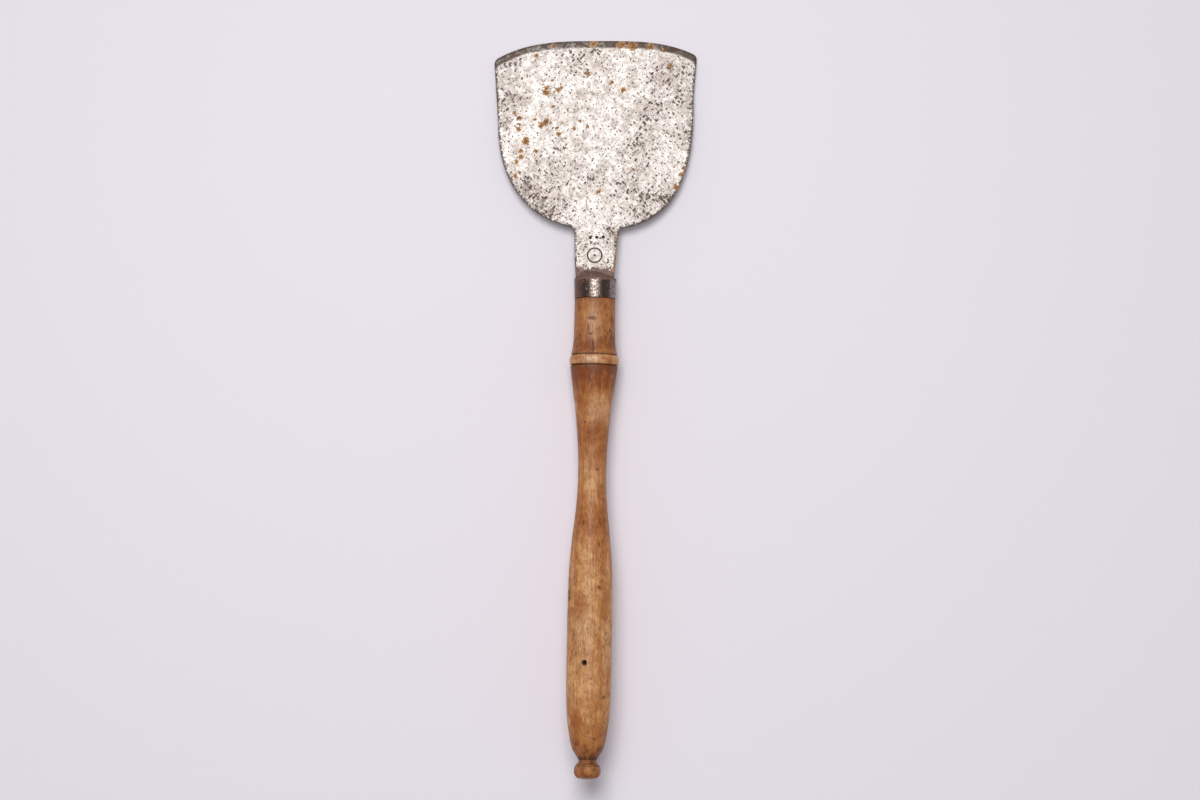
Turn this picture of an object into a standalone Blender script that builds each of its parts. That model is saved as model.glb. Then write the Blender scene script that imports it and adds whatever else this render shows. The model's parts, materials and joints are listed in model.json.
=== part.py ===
"""Long-handled flat scraper, lying at rest on its front edge and on the rim of its ferrule.

The blade, its neck and its tang are one forging. The tang runs down a tapered bore in a handle
turned from one billet, an iron ferrule binds the handle's end, and cutler's cement fills the
ferrule's mouth around the tang and swells out of it above and below the neck.

Everything is modelled on the handle's axis: y runs along it, is zero at the ferrule's mouth and
grows towards the blade, and z is square to the blade's faces. A parent empty then tips the whole
tool into the pose it rests in. Metres, +Z up.
"""

import math

import bmesh
import bpy
from mathutils import Matrix, Vector

FIT_GAP = 0.0003  # left between pieces that touch

# Blade: a plate with full, rounded shoulders and a gently bowed front edge
PLATE_THICKNESS = 0.0021
CORNER_HALF_WIDTH = 0.0566
SHOULDER_HALF_WIDTH = 0.0547
# The two shoulders differ: 1 is the right-hand side and -1 the left
SHOULDER_Y = {1: 0.1020, -1: 0.0879}
SHOULDER_DEPTH = {1: 0.0745, -1: 0.0602}
SHOULDER_POWER = {1: 2.70, -1: 2.27}
SHOULDER_START_ANGLE = {1: math.radians(9.5), -1: math.radians(13)}
SHOULDER_STEPS = 9
FRONT_Y = 0.1339
FRONT_DROP = 0.0095
FRONT_HALF_WIDTH = 0.0564
FRONT_POWER = 3.3
FRONT_LEAN = 0.020
FRONT_SEGMENTS = 15
CORNER_RADIUS = 0.0022
BEVEL_LENGTH = 0.0040
CUTTING_LAND = 0.0003
BLADE_YAW = math.radians(1.04)  # the plate is set slightly askew of the handle
YAW_CENTRE_Y = 0.019

# Neck, as (y, left half-width, right half-width), and the tang behind it
NECK_ROWS = (
    (0.0006, 0.0114, 0.0100),
    (0.0110, 0.0120, 0.0110),
    (0.0210, 0.0120, 0.0121),
    (0.0262, 0.0121, 0.0127),
    (0.0282, 0.0128, 0.0136),
)
NECK_ROOT_THICKNESS = 0.0038
NECK_TAPER_LENGTH = 0.0275
TANG_ROOT_WIDTH = 0.0070
TANG_TIP_WIDTH = 0.0024
TANG_END_Y = -0.0900

# Ferrule
FERRULE_LENGTH = 0.0112
FERRULE_MOUTH_RADIUS = 0.01185
FERRULE_BASE_RADIUS = 0.01145
FERRULE_BORE_RADIUS = 0.0103
FERRULE_CHAMFER = 0.0003

# Handle, turned: (distance from the ferrule, radius), with smooth curves through each row
COLLAR_STATIONS = (
    (0.0003, 0.0113),
    (0.0118, 0.0114),
    (0.0215, 0.0116),
    (0.0270, 0.0120),
    (0.0314, 0.0128),
)
GROOVE_DEPTH = 0.0003
GROOVE_HALF_WIDTH = 0.0003
BEAD_CENTRE = 0.0350
BEAD_HALF_LENGTH = 0.0024
BEAD_FOOT_RADIUS = 0.0128
BEAD_RADIUS = 0.0138
GRIP_STATIONS = (
    (0.0382, 0.0133),
    (0.0476, 0.0121),
    (0.0610, 0.0102),
    (0.0810, 0.00845),
    (0.0958, 0.0079),
    (0.1148, 0.0086),
    (0.1350, 0.0107),
    (0.1550, 0.0122),
    (0.1966, 0.01265),
    (0.2290, 0.0122),
    (0.2425, 0.0107),
    (0.2514, 0.0087),
    (0.2555, 0.0063),
    (0.2579, 0.0049),
)
KNOB_CENTRE = 0.2640
KNOB_FRONT_LENGTH = 0.0044
KNOB_BACK_LENGTH = 0.0044
KNOB_RADIUS = 0.0075
KNOB_STEM_RADIUS = 0.0054
KNOB_END_RADIUS = 0.0042
TENON_RADIUS = 0.0100
TENON_END_Y = -0.0033
COUNTERBORE_RADIUS = 0.0068
COUNTERBORE_Y = -0.0093
BORE_MOUTH_RADIUS = 0.0044
BORE_END_RADIUS = 0.0022
BORE_END_Y = -0.0920
TURNED_SEGMENTS = 36

# Old nail hole in the grip, on the upper side and a little left of the middle
NAIL_HOLE_DISTANCE = 0.2040
NAIL_HOLE_X = -0.0026
NAIL_HOLE_RADIUS = 0.0014
NAIL_HOLE_DEPTH = 0.0060

# Cement: a plug in the ferrule's mouth, and a dome that swells out of it above and below the neck
CEMENT_EDGE_Y = -0.0006
DOME_Y = 0.0003
DOME_RADIUS = 0.0098
DOME_LENGTH = 0.0042
DOME_STEPS = 5


def clear_scene():
    for found in list(bpy.data.objects):
        bpy.data.objects.remove(found, do_unlink=True)


def make_material(name, colour, roughness, metallic):
    material = bpy.data.materials.new(name)
    material.use_nodes = True
    shader = material.node_tree.nodes["Principled BSDF"]
    shader.inputs["Base Color"].default_value = (*colour, 1.0)
    shader.inputs["Roughness"].default_value = roughness
    shader.inputs["Metallic"].default_value = metallic
    return material


def add_object(name, bm, material, parent, smooth_angle):
    """Turns a bmesh into a named, shaded object under its parent."""
    bmesh.ops.recalc_face_normals(bm, faces=bm.faces)
    mesh = bpy.data.meshes.new(name)
    bm.to_mesh(mesh)
    bm.free()
    mesh.shade_smooth()
    mesh.set_sharp_from_angle(angle=smooth_angle)
    if material:
        mesh.materials.append(material)
    made = bpy.data.objects.new(name, mesh)
    made.parent = parent
    bpy.context.scene.collection.objects.link(made)
    return made


def cut(target, cutter):
    """Subtracts a helper body, which stays in the file as a hidden wire."""
    cutter.hide_render = True
    cutter.display_type = "WIRE"
    boolean = target.modifiers.new(cutter.name, "BOOLEAN")
    boolean.operation = "DIFFERENCE"
    boolean.object = cutter


def smooth_row(stations, steps):
    """Points on a smooth curve through the stations, with this many steps between neighbours."""
    last = len(stations) - 1
    slopes = []
    for i in range(last + 1):
        before, after = stations[max(i - 1, 0)], stations[min(i + 1, last)]
        slopes.append((after[1] - before[1]) / (after[0] - before[0]))
    points = []
    for i in range(last):
        (start, low), (end, high) = stations[i], stations[i + 1]
        span = end - start
        for k in range(steps):
            t = k / steps
            value = low * (1 + 2 * t) * (1 - t) ** 2 + high * t * t * (3 - 2 * t)
            value += span * (slopes[i] * t * (1 - t) ** 2 + slopes[i + 1] * t * t * (t - 1))
            points.append((start + t * span, value))
    return [*points, stations[-1]]


def turned(profile, closed):
    """Spins (y, radius) points about the y axis, with a flat side, not a corner, at the bottom."""
    bm = bmesh.new()
    half_step = Matrix.Rotation(math.pi / TURNED_SEGMENTS, 3, "Y")
    verts = [bm.verts.new(half_step @ Vector((radius, y, 0))) for y, radius in profile]
    pairs = list(zip(verts, verts[1:]))
    if closed:
        pairs.append((verts[-1], verts[0]))
    edges = [bm.edges.new(pair) for pair in pairs]
    bmesh.ops.spin(
        bm,
        geom=[*verts, *edges],
        cent=(0, 0, 0),
        axis=(0, 1, 0),
        angle=2 * math.pi,
        steps=TURNED_SEGMENTS,
        use_merge=True,
    )
    bmesh.ops.remove_doubles(bm, verts=bm.verts, dist=1e-6)
    return bm


# Blade


def yawed(x, y):
    """A point of the plate, turned by its small yaw about a point in the neck."""
    ahead = y - YAW_CENTRE_Y
    return (
        x * math.cos(BLADE_YAW) - ahead * math.sin(BLADE_YAW),
        YAW_CENTRE_Y + x * math.sin(BLADE_YAW) + ahead * math.cos(BLADE_YAW),
    )


def front_y(x):
    """The front edge's bow. It leans a little, its right-hand end further forward."""
    return FRONT_Y + FRONT_LEAN * x - FRONT_DROP * abs(x / FRONT_HALF_WIDTH) ** FRONT_POWER


def front_slope(x):
    steepness = FRONT_DROP * FRONT_POWER / FRONT_HALF_WIDTH
    return FRONT_LEAN - math.copysign(steepness * abs(x / FRONT_HALF_WIDTH) ** (FRONT_POWER - 1), x)


def corner(side):
    """Where the plate's side meets the front edge, before it is rounded."""
    x, _ = yawed(side * CORNER_HALF_WIDTH, FRONT_Y - FRONT_DROP)
    return x, front_y(x)


def plate_side(side):
    """One side of the blade from the neck's shoulder to the rounded corner. side is 1 for right."""
    points = [yawed(side * (right if side > 0 else left), y) for y, left, right in NECK_ROWS]
    start = SHOULDER_START_ANGLE[side]
    for k in range(SHOULDER_STEPS + 1):
        angle = start + (math.pi / 2 - start) * k / SHOULDER_STEPS
        across = SHOULDER_HALF_WIDTH * math.sin(angle) ** (2 / SHOULDER_POWER[side])
        back = SHOULDER_DEPTH[side] * math.cos(angle) ** (2 / SHOULDER_POWER[side])
        points.append(yawed(side * across, SHOULDER_Y[side] - back))
    x, y = corner(side)
    bevel_run = BEVEL_LENGTH * math.hypot(1, front_slope(x))
    points.append((x, y - bevel_run))
    points.append((x, y - CORNER_RADIUS))
    points.append((x - side * 0.3 * CORNER_RADIUS, y - 0.2 * CORNER_RADIUS))
    return points


def front_points():
    """The bowed edge from right to left, with points closest together towards the corners."""
    right, left = corner(1)[0] - CORNER_RADIUS, corner(-1)[0] + CORNER_RADIUS
    middle, half = (right + left) / 2, (right - left) / 2
    widest = 1.2
    points = []
    for k in range(FRONT_SEGMENTS + 1):
        x = middle + half * math.sin(widest * (1 - 2 * k / FRONT_SEGMENTS)) / math.sin(widest)
        points.append((x, front_y(x)))
    return points


def upper_point(x, y):
    """The same place on the upper face, which stops short of the front edge by the bevel."""
    slope = front_slope(x)
    square = 1 / math.hypot(1, slope)
    inset = max(0.0, BEVEL_LENGTH - (front_y(x) - y) * square)
    return x + inset * slope * square, y - inset * square


def half_thickness(y):
    """Half the forging's thickness: the neck swells towards its root."""
    swell = max(0.0, 1 - y / NECK_TAPER_LENGTH)
    return (PLATE_THICKNESS + (NECK_ROOT_THICKNESS - PLATE_THICKNESS) * swell) / 2


def tang_width(y):
    share = (NECK_ROWS[0][0] - y) / (NECK_ROWS[0][0] - TANG_END_Y)
    return TANG_ROOT_WIDTH + (TANG_TIP_WIDTH - TANG_ROOT_WIDTH) * share


def tang_thickness(y):
    share = (NECK_ROWS[0][0] - y) / (NECK_ROWS[0][0] - TANG_END_Y)
    return NECK_ROOT_THICKNESS + (TANG_TIP_WIDTH - NECK_ROOT_THICKNESS) * share


def blade_mesh():
    root_y = NECK_ROWS[0][0]
    right, left = plate_side(1), plate_side(-1)
    outline = [(TANG_ROOT_WIDTH / 2, root_y), *right, *front_points(), *reversed(left)]
    outline.append((-TANG_ROOT_WIDTH / 2, root_y))
    count, rows = len(outline), len(NECK_ROWS)

    bm = bmesh.new()
    lower = [bm.verts.new((x, y, -half_thickness(y))) for x, y in outline]
    land = [bm.verts.new((x, y, CUTTING_LAND - half_thickness(y))) for x, y in outline]
    upper = []
    for x, y in outline:
        top_x, top_y = upper_point(x, y)
        upper.append(bm.verts.new((top_x, top_y, half_thickness(top_y))))
    for i in range(count - 1):
        bm.faces.new((lower[i], lower[i + 1], land[i + 1], land[i]))
        bm.faces.new((land[i], land[i + 1], upper[i + 1], upper[i]))
    for level in (lower, upper):
        bm.faces.new((*level[:3], *level[-3:]))
        for k in range(2, rows):
            bm.faces.new((level[k], level[k + 1], level[-k - 2], level[-k - 1]))
        bm.faces.new(level[rows : count - rows])

    # The neck's root is still open between the two ends of the outline: the tang is drawn out of it.
    opening = [edge for edge in bm.edges if edge.is_boundary]
    drawn = bmesh.ops.extrude_edge_only(bm, edges=opening)["geom"]
    for vert in (item for item in drawn if isinstance(item, bmesh.types.BMVert)):
        vert.co.x *= TANG_TIP_WIDTH / TANG_ROOT_WIDTH
        vert.co.z *= TANG_TIP_WIDTH / NECK_ROOT_THICKNESS
        vert.co.y = TANG_END_Y
    bmesh.ops.holes_fill(bm, edges=[edge for edge in bm.edges if edge.is_boundary])
    return bm


# Ferrule, handle and cement


def ferrule_profile():
    return [
        (0.0, FERRULE_BORE_RADIUS + FERRULE_CHAMFER),
        (0.0, FERRULE_MOUTH_RADIUS - FERRULE_CHAMFER),
        (-FERRULE_CHAMFER, FERRULE_MOUTH_RADIUS),
        (FERRULE_CHAMFER - FERRULE_LENGTH, FERRULE_BASE_RADIUS),
        (-FERRULE_LENGTH, FERRULE_BASE_RADIUS - FERRULE_CHAMFER),
        (-FERRULE_LENGTH, FERRULE_BORE_RADIUS),
        (-FERRULE_CHAMFER, FERRULE_BORE_RADIUS),
    ]


def groove(distance, radius):
    return [(distance, radius - GROOVE_DEPTH), (distance + GROOVE_HALF_WIDTH, radius)]


def bead_row():
    points = []
    for k in range(7):
        angle = math.pi * k / 6
        along = BEAD_CENTRE - BEAD_HALF_LENGTH * math.cos(angle)
        rise = (BEAD_RADIUS - BEAD_FOOT_RADIUS) * math.sin(angle)
        points.append((along, BEAD_FOOT_RADIUS + rise))
    return points


def knob_row():
    """A flared stem, a rounded rim and a slightly domed end."""
    points = []
    for k in range(1, 5):
        angle = math.pi / 2 * k / 4
        radius = KNOB_STEM_RADIUS + (KNOB_RADIUS - KNOB_STEM_RADIUS) * math.sin(angle)
        points.append((KNOB_CENTRE - KNOB_FRONT_LENGTH * math.cos(angle), radius))
    for k in range(1, 5):
        angle = math.pi / 2 * k / 4
        radius = KNOB_END_RADIUS + (KNOB_RADIUS - KNOB_END_RADIUS) * math.cos(angle)
        points.append((KNOB_CENTRE + 0.9 * KNOB_BACK_LENGTH * math.sin(angle), radius))
    return [*points, (KNOB_CENTRE + KNOB_BACK_LENGTH, 0.0)]


def handle_profile():
    outside = smooth_row(COLLAR_STATIONS, 2)
    outside += groove(COLLAR_STATIONS[-1][0] + GROOVE_HALF_WIDTH, BEAD_FOOT_RADIUS)
    outside += bead_row()[1:]
    outside += groove(BEAD_CENTRE + BEAD_HALF_LENGTH + GROOVE_HALF_WIDTH, BEAD_FOOT_RADIUS)[:1]
    outside += smooth_row(GRIP_STATIONS, 2)
    outside += knob_row()
    profile = [(-FERRULE_LENGTH - distance, radius) for distance, radius in reversed(outside)]
    inside = [
        (-FERRULE_LENGTH - FIT_GAP, TENON_RADIUS),
        (TENON_END_Y, TENON_RADIUS),
        (TENON_END_Y, COUNTERBORE_RADIUS),
        (COUNTERBORE_Y, COUNTERBORE_RADIUS),
        (COUNTERBORE_Y, BORE_MOUTH_RADIUS),
        (BORE_END_Y, BORE_END_RADIUS),
        (BORE_END_Y, 0.0),
    ]
    return profile + inside


def nail_hole_mesh():
    y = -FERRULE_LENGTH - NAIL_HOLE_DISTANCE
    top = GRIP_STATIONS[8][1]
    bm = bmesh.new()
    bmesh.ops.create_cone(
        bm,
        cap_ends=True,
        segments=12,
        radius1=NAIL_HOLE_RADIUS,
        radius2=NAIL_HOLE_RADIUS,
        depth=2 * NAIL_HOLE_DEPTH,
        matrix=Matrix.Translation((NAIL_HOLE_X, y, top)),
    )
    return bm


def cement_profile():
    plug_radius = FERRULE_BORE_RADIUS - FIT_GAP
    points = [
        (COUNTERBORE_Y + FIT_GAP, 0.0),
        (COUNTERBORE_Y + FIT_GAP, COUNTERBORE_RADIUS - FIT_GAP),
        (TENON_END_Y + FIT_GAP, COUNTERBORE_RADIUS - FIT_GAP),
        (TENON_END_Y + FIT_GAP, plug_radius),
        (CEMENT_EDGE_Y, plug_radius),
    ]
    for k in range(DOME_STEPS):
        angle = math.pi / 2 * k / DOME_STEPS
        points.append((DOME_Y + DOME_LENGTH * math.sin(angle), DOME_RADIUS * math.cos(angle)))
    return [*points, (DOME_Y + DOME_LENGTH, 0.0)]


def bar_mesh(ends):
    """A four-sided bar along y between two ends, each given as (y, half-width, half-height)."""
    bm = bmesh.new()
    rings = []
    for y, across, up in ends:
        corners = ((-across, -up), (across, -up), (across, up), (-across, up))
        rings.append([bm.verts.new((x, y, z)) for x, z in corners])
    for i in range(4):
        j = (i + 1) % 4
        bm.faces.new((rings[0][i], rings[0][j], rings[1][j], rings[1][i]))
    bm.faces.new(rings[0])
    bm.faces.new(rings[1])
    return bm


def tang_slot_mesh():
    """A tapered bar a gap larger than the tang all round, long enough to pass through the plug."""
    ends = []
    for y in (COUNTERBORE_Y - TANG_ROOT_WIDTH, NECK_ROWS[1][0]):
        ends.append((y, tang_width(y) / 2 + FIT_GAP, tang_thickness(y) / 2 + FIT_GAP))
    return bar_mesh(ends)


def neck_slot_mesh():
    """A bar wider than the dome and a gap thicker than the neck, which parts the dome into its two halves."""
    up = NECK_ROOT_THICKNESS / 2 + FIT_GAP
    return bar_mesh([(y, FERRULE_MOUTH_RADIUS, up) for y in (NECK_ROWS[0][0] - FIT_GAP, NECK_ROWS[1][0])])


# Resting pose


def resting_tilt():
    """The dip of the handle's axis when the front edge and the ferrule's rim touch one plane."""
    rim_below = FERRULE_MOUTH_RADIUS * math.cos(math.pi / TURNED_SEGMENTS)
    return math.atan2(rim_below - PLATE_THICKNESS / 2, FRONT_Y + FERRULE_CHAMFER)


def stand_on_floor(root, pieces):
    """Moves the root so that the lowest point is at z = 0 and the box is centred on x and y."""
    bpy.context.view_layer.update()
    points = [piece.matrix_world @ vert.co for piece in pieces for vert in piece.data.vertices]
    lows = [min(point[k] for point in points) for k in range(3)]
    highs = [max(point[k] for point in points) for k in range(3)]
    root.location.x -= (lows[0] + highs[0]) / 2
    root.location.y -= (lows[1] + highs[1]) / 2
    root.location.z -= lows[2]


def main():
    clear_scene()
    root = bpy.data.objects.new("tool_axis", None)
    root.rotation_euler.x = -resting_tilt()
    bpy.context.scene.collection.objects.link(root)

    steel = make_material("worn_steel", (0.52, 0.50, 0.48), 0.40, 1.0)
    iron = make_material("ferrule_iron", (0.20, 0.16, 0.13), 0.38, 1.0)
    wood = make_material("turned_wood", (0.42, 0.23, 0.11), 0.55, 0.0)
    cement = make_material("cutlers_cement", (0.13, 0.08, 0.06), 0.80, 0.0)

    blade = add_object("blade", blade_mesh(), steel, root, math.radians(20))
    ferrule = add_object("ferrule", turned(ferrule_profile(), True), iron, root, math.radians(35))
    handle = add_object("handle", turned(handle_profile(), False), wood, root, math.radians(35))
    bedding = add_object("tang_bedding", turned(cement_profile(), False), cement, root, math.radians(35))

    cut(handle, add_object("nail_hole_cutter", nail_hole_mesh(), None, root, math.radians(35)))
    cut(bedding, add_object("tang_slot_cutter", tang_slot_mesh(), None, root, math.radians(35)))
    cut(bedding, add_object("neck_slot_cutter", neck_slot_mesh(), None, root, math.radians(35)))

    stand_on_floor(root, (blade, ferrule, handle, bedding))


main()
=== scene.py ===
"""Looks of the long-handled flat scraper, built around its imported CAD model.

Each piece repeats its CAD solid's shape with a finer, worn mesh. It is made in the tool's own frame:
y runs along the handle's axis, is zero at the ferrule's mouth and grows towards the blade, and z is
square to the blade's faces. tool_matrix() then lays it in the resting pose, read from the record.
Metres, unless a name ends in MM.
"""

import json
import math
import random

import bpy
import numpy as np
from mathutils import Matrix, Vector, geometry, kdtree, noise


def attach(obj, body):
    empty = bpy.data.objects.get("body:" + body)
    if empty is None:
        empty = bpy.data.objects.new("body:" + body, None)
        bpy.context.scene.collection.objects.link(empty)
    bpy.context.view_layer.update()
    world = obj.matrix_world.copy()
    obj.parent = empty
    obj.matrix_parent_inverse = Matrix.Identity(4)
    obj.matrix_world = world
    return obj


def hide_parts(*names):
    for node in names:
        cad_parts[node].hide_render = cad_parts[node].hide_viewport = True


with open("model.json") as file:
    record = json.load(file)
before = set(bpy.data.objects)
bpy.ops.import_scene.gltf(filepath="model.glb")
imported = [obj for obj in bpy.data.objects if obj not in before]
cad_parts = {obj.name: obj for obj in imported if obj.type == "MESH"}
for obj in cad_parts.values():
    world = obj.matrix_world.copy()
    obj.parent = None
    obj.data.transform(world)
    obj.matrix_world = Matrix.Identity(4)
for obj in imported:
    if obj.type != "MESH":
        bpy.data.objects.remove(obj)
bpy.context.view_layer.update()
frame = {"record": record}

MM = 0.001

# The tool's shape, as the CAD part has it
PLATE_THICKNESS = 0.0021
CORNER_HALF_WIDTH = 0.0566
SHOULDER_HALF_WIDTH = 0.0547
# The two shoulders differ: 1 is the right-hand side and -1 the left
SHOULDER_Y = {1: 0.1020, -1: 0.0879}
SHOULDER_DEPTH = {1: 0.0745, -1: 0.0602}
SHOULDER_POWER = {1: 2.70, -1: 2.27}
SHOULDER_START_ANGLE = {1: math.radians(9.5), -1: math.radians(13)}
FRONT_Y = 0.1339
FRONT_DROP = 0.0095
FRONT_HALF_WIDTH = 0.0564
FRONT_POWER = 3.3
FRONT_LEAN = 0.020
CORNER_RADIUS = 0.0022
BEVEL_LENGTH = 0.0040
CUTTING_LAND = 0.0003
BLADE_YAW = math.radians(1.04)
YAW_CENTRE_Y = 0.019
NECK_ROWS = (
    (0.0006, 0.0114, 0.0100), (0.0110, 0.0120, 0.0110), (0.0210, 0.0120, 0.0121),
    (0.0262, 0.0121, 0.0127), (0.0282, 0.0128, 0.0136),
)
NECK_ROOT_THICKNESS = 0.0038
NECK_TAPER_LENGTH = 0.0275
TANG_ROOT_WIDTH = 0.0070
TANG_TIP_WIDTH = 0.0024
TANG_END_Y = -0.0900
FERRULE_LENGTH = 0.0112
FERRULE_MOUTH_RADIUS = 0.01185
FERRULE_BASE_RADIUS = 0.01145
FERRULE_BORE_RADIUS = 0.0103
FIT_GAP = 0.0003
COLLAR_STATIONS = (
    (0.0003, 0.0113), (0.0118, 0.0114), (0.0215, 0.0116), (0.0270, 0.0120), (0.0314, 0.0128),
)
GROOVE_HALF_WIDTH = 0.0003
BEAD_CENTRE = 0.0350
BEAD_HALF_LENGTH = 0.0024
BEAD_FOOT_RADIUS = 0.0128
BEAD_RADIUS = 0.0138
GRIP_STATIONS = (
    (0.0382, 0.0133), (0.0476, 0.0121), (0.0610, 0.0102), (0.0810, 0.00845), (0.0958, 0.0079),
    (0.1148, 0.0086), (0.1350, 0.0107), (0.1550, 0.0122), (0.1966, 0.01265), (0.2290, 0.0122),
    (0.2425, 0.0107), (0.2514, 0.0087), (0.2555, 0.0063), (0.2579, 0.0049),
)
KNOB_CENTRE = 0.2640
KNOB_FRONT_LENGTH = 0.0044
KNOB_BACK_LENGTH = 0.0044
KNOB_RADIUS = 0.0075
KNOB_STEM_RADIUS = 0.0054
KNOB_END_RADIUS = 0.0042
TENON_RADIUS = 0.0100
TENON_END_Y = -0.0033
COUNTERBORE_RADIUS = 0.0068
COUNTERBORE_Y = -0.0093
BORE_MOUTH_RADIUS = 0.0044
BORE_END_RADIUS = 0.0022
BORE_END_Y = -0.0920
NAIL_HOLE_DISTANCE = 0.2040
NAIL_HOLE_X = -0.0026
NAIL_HOLE_RADIUS = 0.0014
NAIL_HOLE_DEPTH = 0.0060
DOME_Y = 0.0003
DOME_RADIUS = 0.0098
DOME_LENGTH = 0.0042

# How finely the blade is meshed
OUTLINE_STEP_MM = 0.36
TANG_STEP_MM = 2.0
UPPER_STEP_MM = 0.62
LOWER_STEP_MM = 1.15
MARK_STEP_MM = 0.2
EDGE_STEPS = 4
EDGE_RADIUS_MM = 0.42
SHOULDER_STEPS = 80
CORNER_STEPS = 8
FRONT_STEPS = 200

# Wear on the blade, as (x, y, radius) in millimetres on its upper face
RUST_SPOTS_MM = (
    (-29.3, 104.2, 2.1), (-29.3, 106.4, 1.6), (-26, 111, 0.8), (-22.6, 105.6, 1.3), (-21, 107, 1),
    (-5.7, 115.3, 1.4), (-25, 96.4, 1.1), (-29, 87.6, 2.2), (-31.5, 85.3, 1.7), (-35.2, 89, 0.9),
    (-44.2, 89.4, 1.5), (-47, 92.2, 1.2), (-44, 85.8, 1.1), (-44.3, 83.2, 1.4), (-56.2, 94.5, 0.9),
    (-10, 88.3, 1), (-13.6, 84, 1.2), (-5.8, 85.2, 1.2), (-23, 84.2, 1), (-21.8, 81, 1.7),
    (-40, 76.5, 2.2), (-40.4, 77.4, 1.4), (-43, 71, 1.2), (-42.8, 67.6, 1.5), (-45.4, 64.8, 1.2),
    (-46, 57.2, 1.5), (-43.4, 58.6, 1), (-34.2, 70.8, 1.2), (-35, 125, 1.2), (-25.4, 130.6, 1.6),
    (-3.2, 132.2, 2.2), (0.9, 48.8, 1.7), (12.5, 131.6, 2.7), (18.6, 131.5, 3), (28.8, 131, 2.3),
    (34.8, 129.4, 1.1), (7.4, 110.5, 1.2), (13.6, 106.2, 1.5), (39.8, 120.6, 1.3),
    (20.4, 61.6, 1.1), (47.4, 59.4, 1.5), (48.4, 63, 1.1), (44.6, 52, 2), (12.6, 23, 1.5),
    (12.5, 20.8, 0.9), (12.3, 19.2, 1), (12.1, 17.2, 1.3), (11.8, 15.2, 1), (11.6, 13.4, 0.9),
    (11.2, 11.2, 1.4), (11, 9.2, 1), (10.8, 7.6, 1), (10.3, 5.4, 1.2),
)
DARK_SPOTS_MM = (
    (-47.8, 126.4, 3.4), (-49.6, 122.6, 2.4), (-58, 120, 1.6), (-16, 127, 1.8), (-48.4, 101, 2.8),
    (-50.8, 88.4, 4.6), (-51.2, 84, 3), (-2.6, 103.6, 2.4), (-25.2, 96.8, 1.1), (5, 116, 1.6),
    (6, 104.8, 1.2), (15.4, 116.2, 1.8), (-9, 96, 1.2), (-22.6, 72.6, 1.2), (-37.6, 71.4, 1),
    (-23.4, 54.2, 1.6), (-17.6, 44, 3.6), (-18.4, 39.6, 1.4), (-39, 50.8, 5), (-31, 43.4, 6),
    (-26.2, 35.8, 5), (-6, 41.4, 1.4), (14.6, 70.4, 2), (28.8, 64.2, 1.8), (50.6, 88, 2),
    (50.8, 81.4, 3.2), (51.4, 69, 2), (49.2, 65.4, 1.4), (35.2, 46.2, 3.6), (41.6, 45.8, 3),
    (14.8, 46.2, 1), (27, 45.2, 5.2), (11, 47, 4.6), (24, 75, 4.6), (7, 28.4, 2.6), (10.6, 25, 2.2),
)
# Soft grey clouds, where the pits stand closer
CLOUDS_MM = (
    (-22.8, 61, 16), (-36, 49, 15), (-27, 40, 13), (-51, 121.5, 13), (-49, 100, 10),
    (-6.6, 126, 14), (41, 114, 18), (50, 105, 13), (30, 92, 14), (23, 74, 14), (51, 85, 11),
    (38, 46, 13), (17, 55, 10), (26, 37, 12), (-2, 56, 7), (-1, 11, 14), (10, 23, 11),
)
# The brown smear of cement on the neck: where it ends, and over what length it fades
STAIN_END_MM = 7.5
STAIN_FADE_MM = 4.0
# How far in the painted shade along the blade's rim reaches: a dark brown band that stands for the shade on
# its edges
EDGE_SHADE_WIDTH_MM = 3.2
SCRATCHES_MM = (
    ((-38.2, 98.6), (-40.8, 93), 0.5), ((-31.6, 98.8), (-31.8, 94.6), 0.4),
    ((26, 95.6), (31.4, 90), 0.4), ((32.6, 109.8), (37.6, 105.8), 0.5),
    ((6, 120.2), (10, 119), 0.7), ((15.2, 83), (17.8, 82.8), 0.8), ((-2.6, 58.8), (-3.8, 54), 0.5),
    ((-24.6, 84.4), (-28, 80.6), 0.6), ((49.1, 87.4), (47.6, 83.7), 0.6),
    ((46.9, 62.6), (49.8, 60.4), 0.6), ((42.5, 50.9), (44.7, 54.5), 0.6),
    ((35.9, 46.5), (38.1, 42.8), 0.6), ((35.9, 94), (38.9, 90.3), 0.5),
    ((13.3, 67), (15.1, 65.5), 0.6), ((21.3, 64), (27.1, 61.8), 0.5),
    ((-5.8, 43.6), (-5.2, 38.4), 0.9),
)

# Nicks in the blade's edge, as (x, y, width, depth)
NICKS_MM = (
    (-38, 46.2, 0.9, 0.30), (-20, 33.6, 0.6, 0.22), (44, 48.6, 0.8, 0.26), (53, 70, 0.8, 0.22),
    (-53.4, 72, 0.7, 0.18), (-30, 132.4, 0.8, 0.14), (22, 133.1, 0.6, 0.12), (41, 130.3, 0.8, 0.16),
    (57, 104, 0.9, 0.18),
)
CORRODED_MM = (58, 17)  # the corroded stretch of the right-hand edge: its middle and half-length
UPPER_PITS = 330
LOWER_PITS = 220
SCRATCH_DEPTH_MM = 0.12

# Two plain touch marks on the neck: a ring with a dot, and a row of three punched dots
RING_MARK_MM = (-0.6, 13.0)
RING_MARK_RADIUS_MM = 4.0
DOT_MARKS_MM = ((-3.2, 22.9), (0.4, 23.1), (4.0, 23.3))
DOT_MARK_RADIUS_MM = 1.15
MARK_HALF_WIDTH_MM = 0.44
MARKED_AREA_MM = ((-5.3, 8.2), (5.5, 24.8))
MARK_DEPTH_MM = 0.22
QUIET_RADIUS_MM = 7.5  # the steel's pitted pattern fades out this near the ring mark

# The handle's fineness and wear
HANDLE_SEGMENTS = 180
BEAD_STEPS = 20
KNOB_STEPS = 16
HANDLE_ROW_MM = 0.62
STEM_ROW_MM = 0.22
STEM_START = 0.2556
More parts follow.
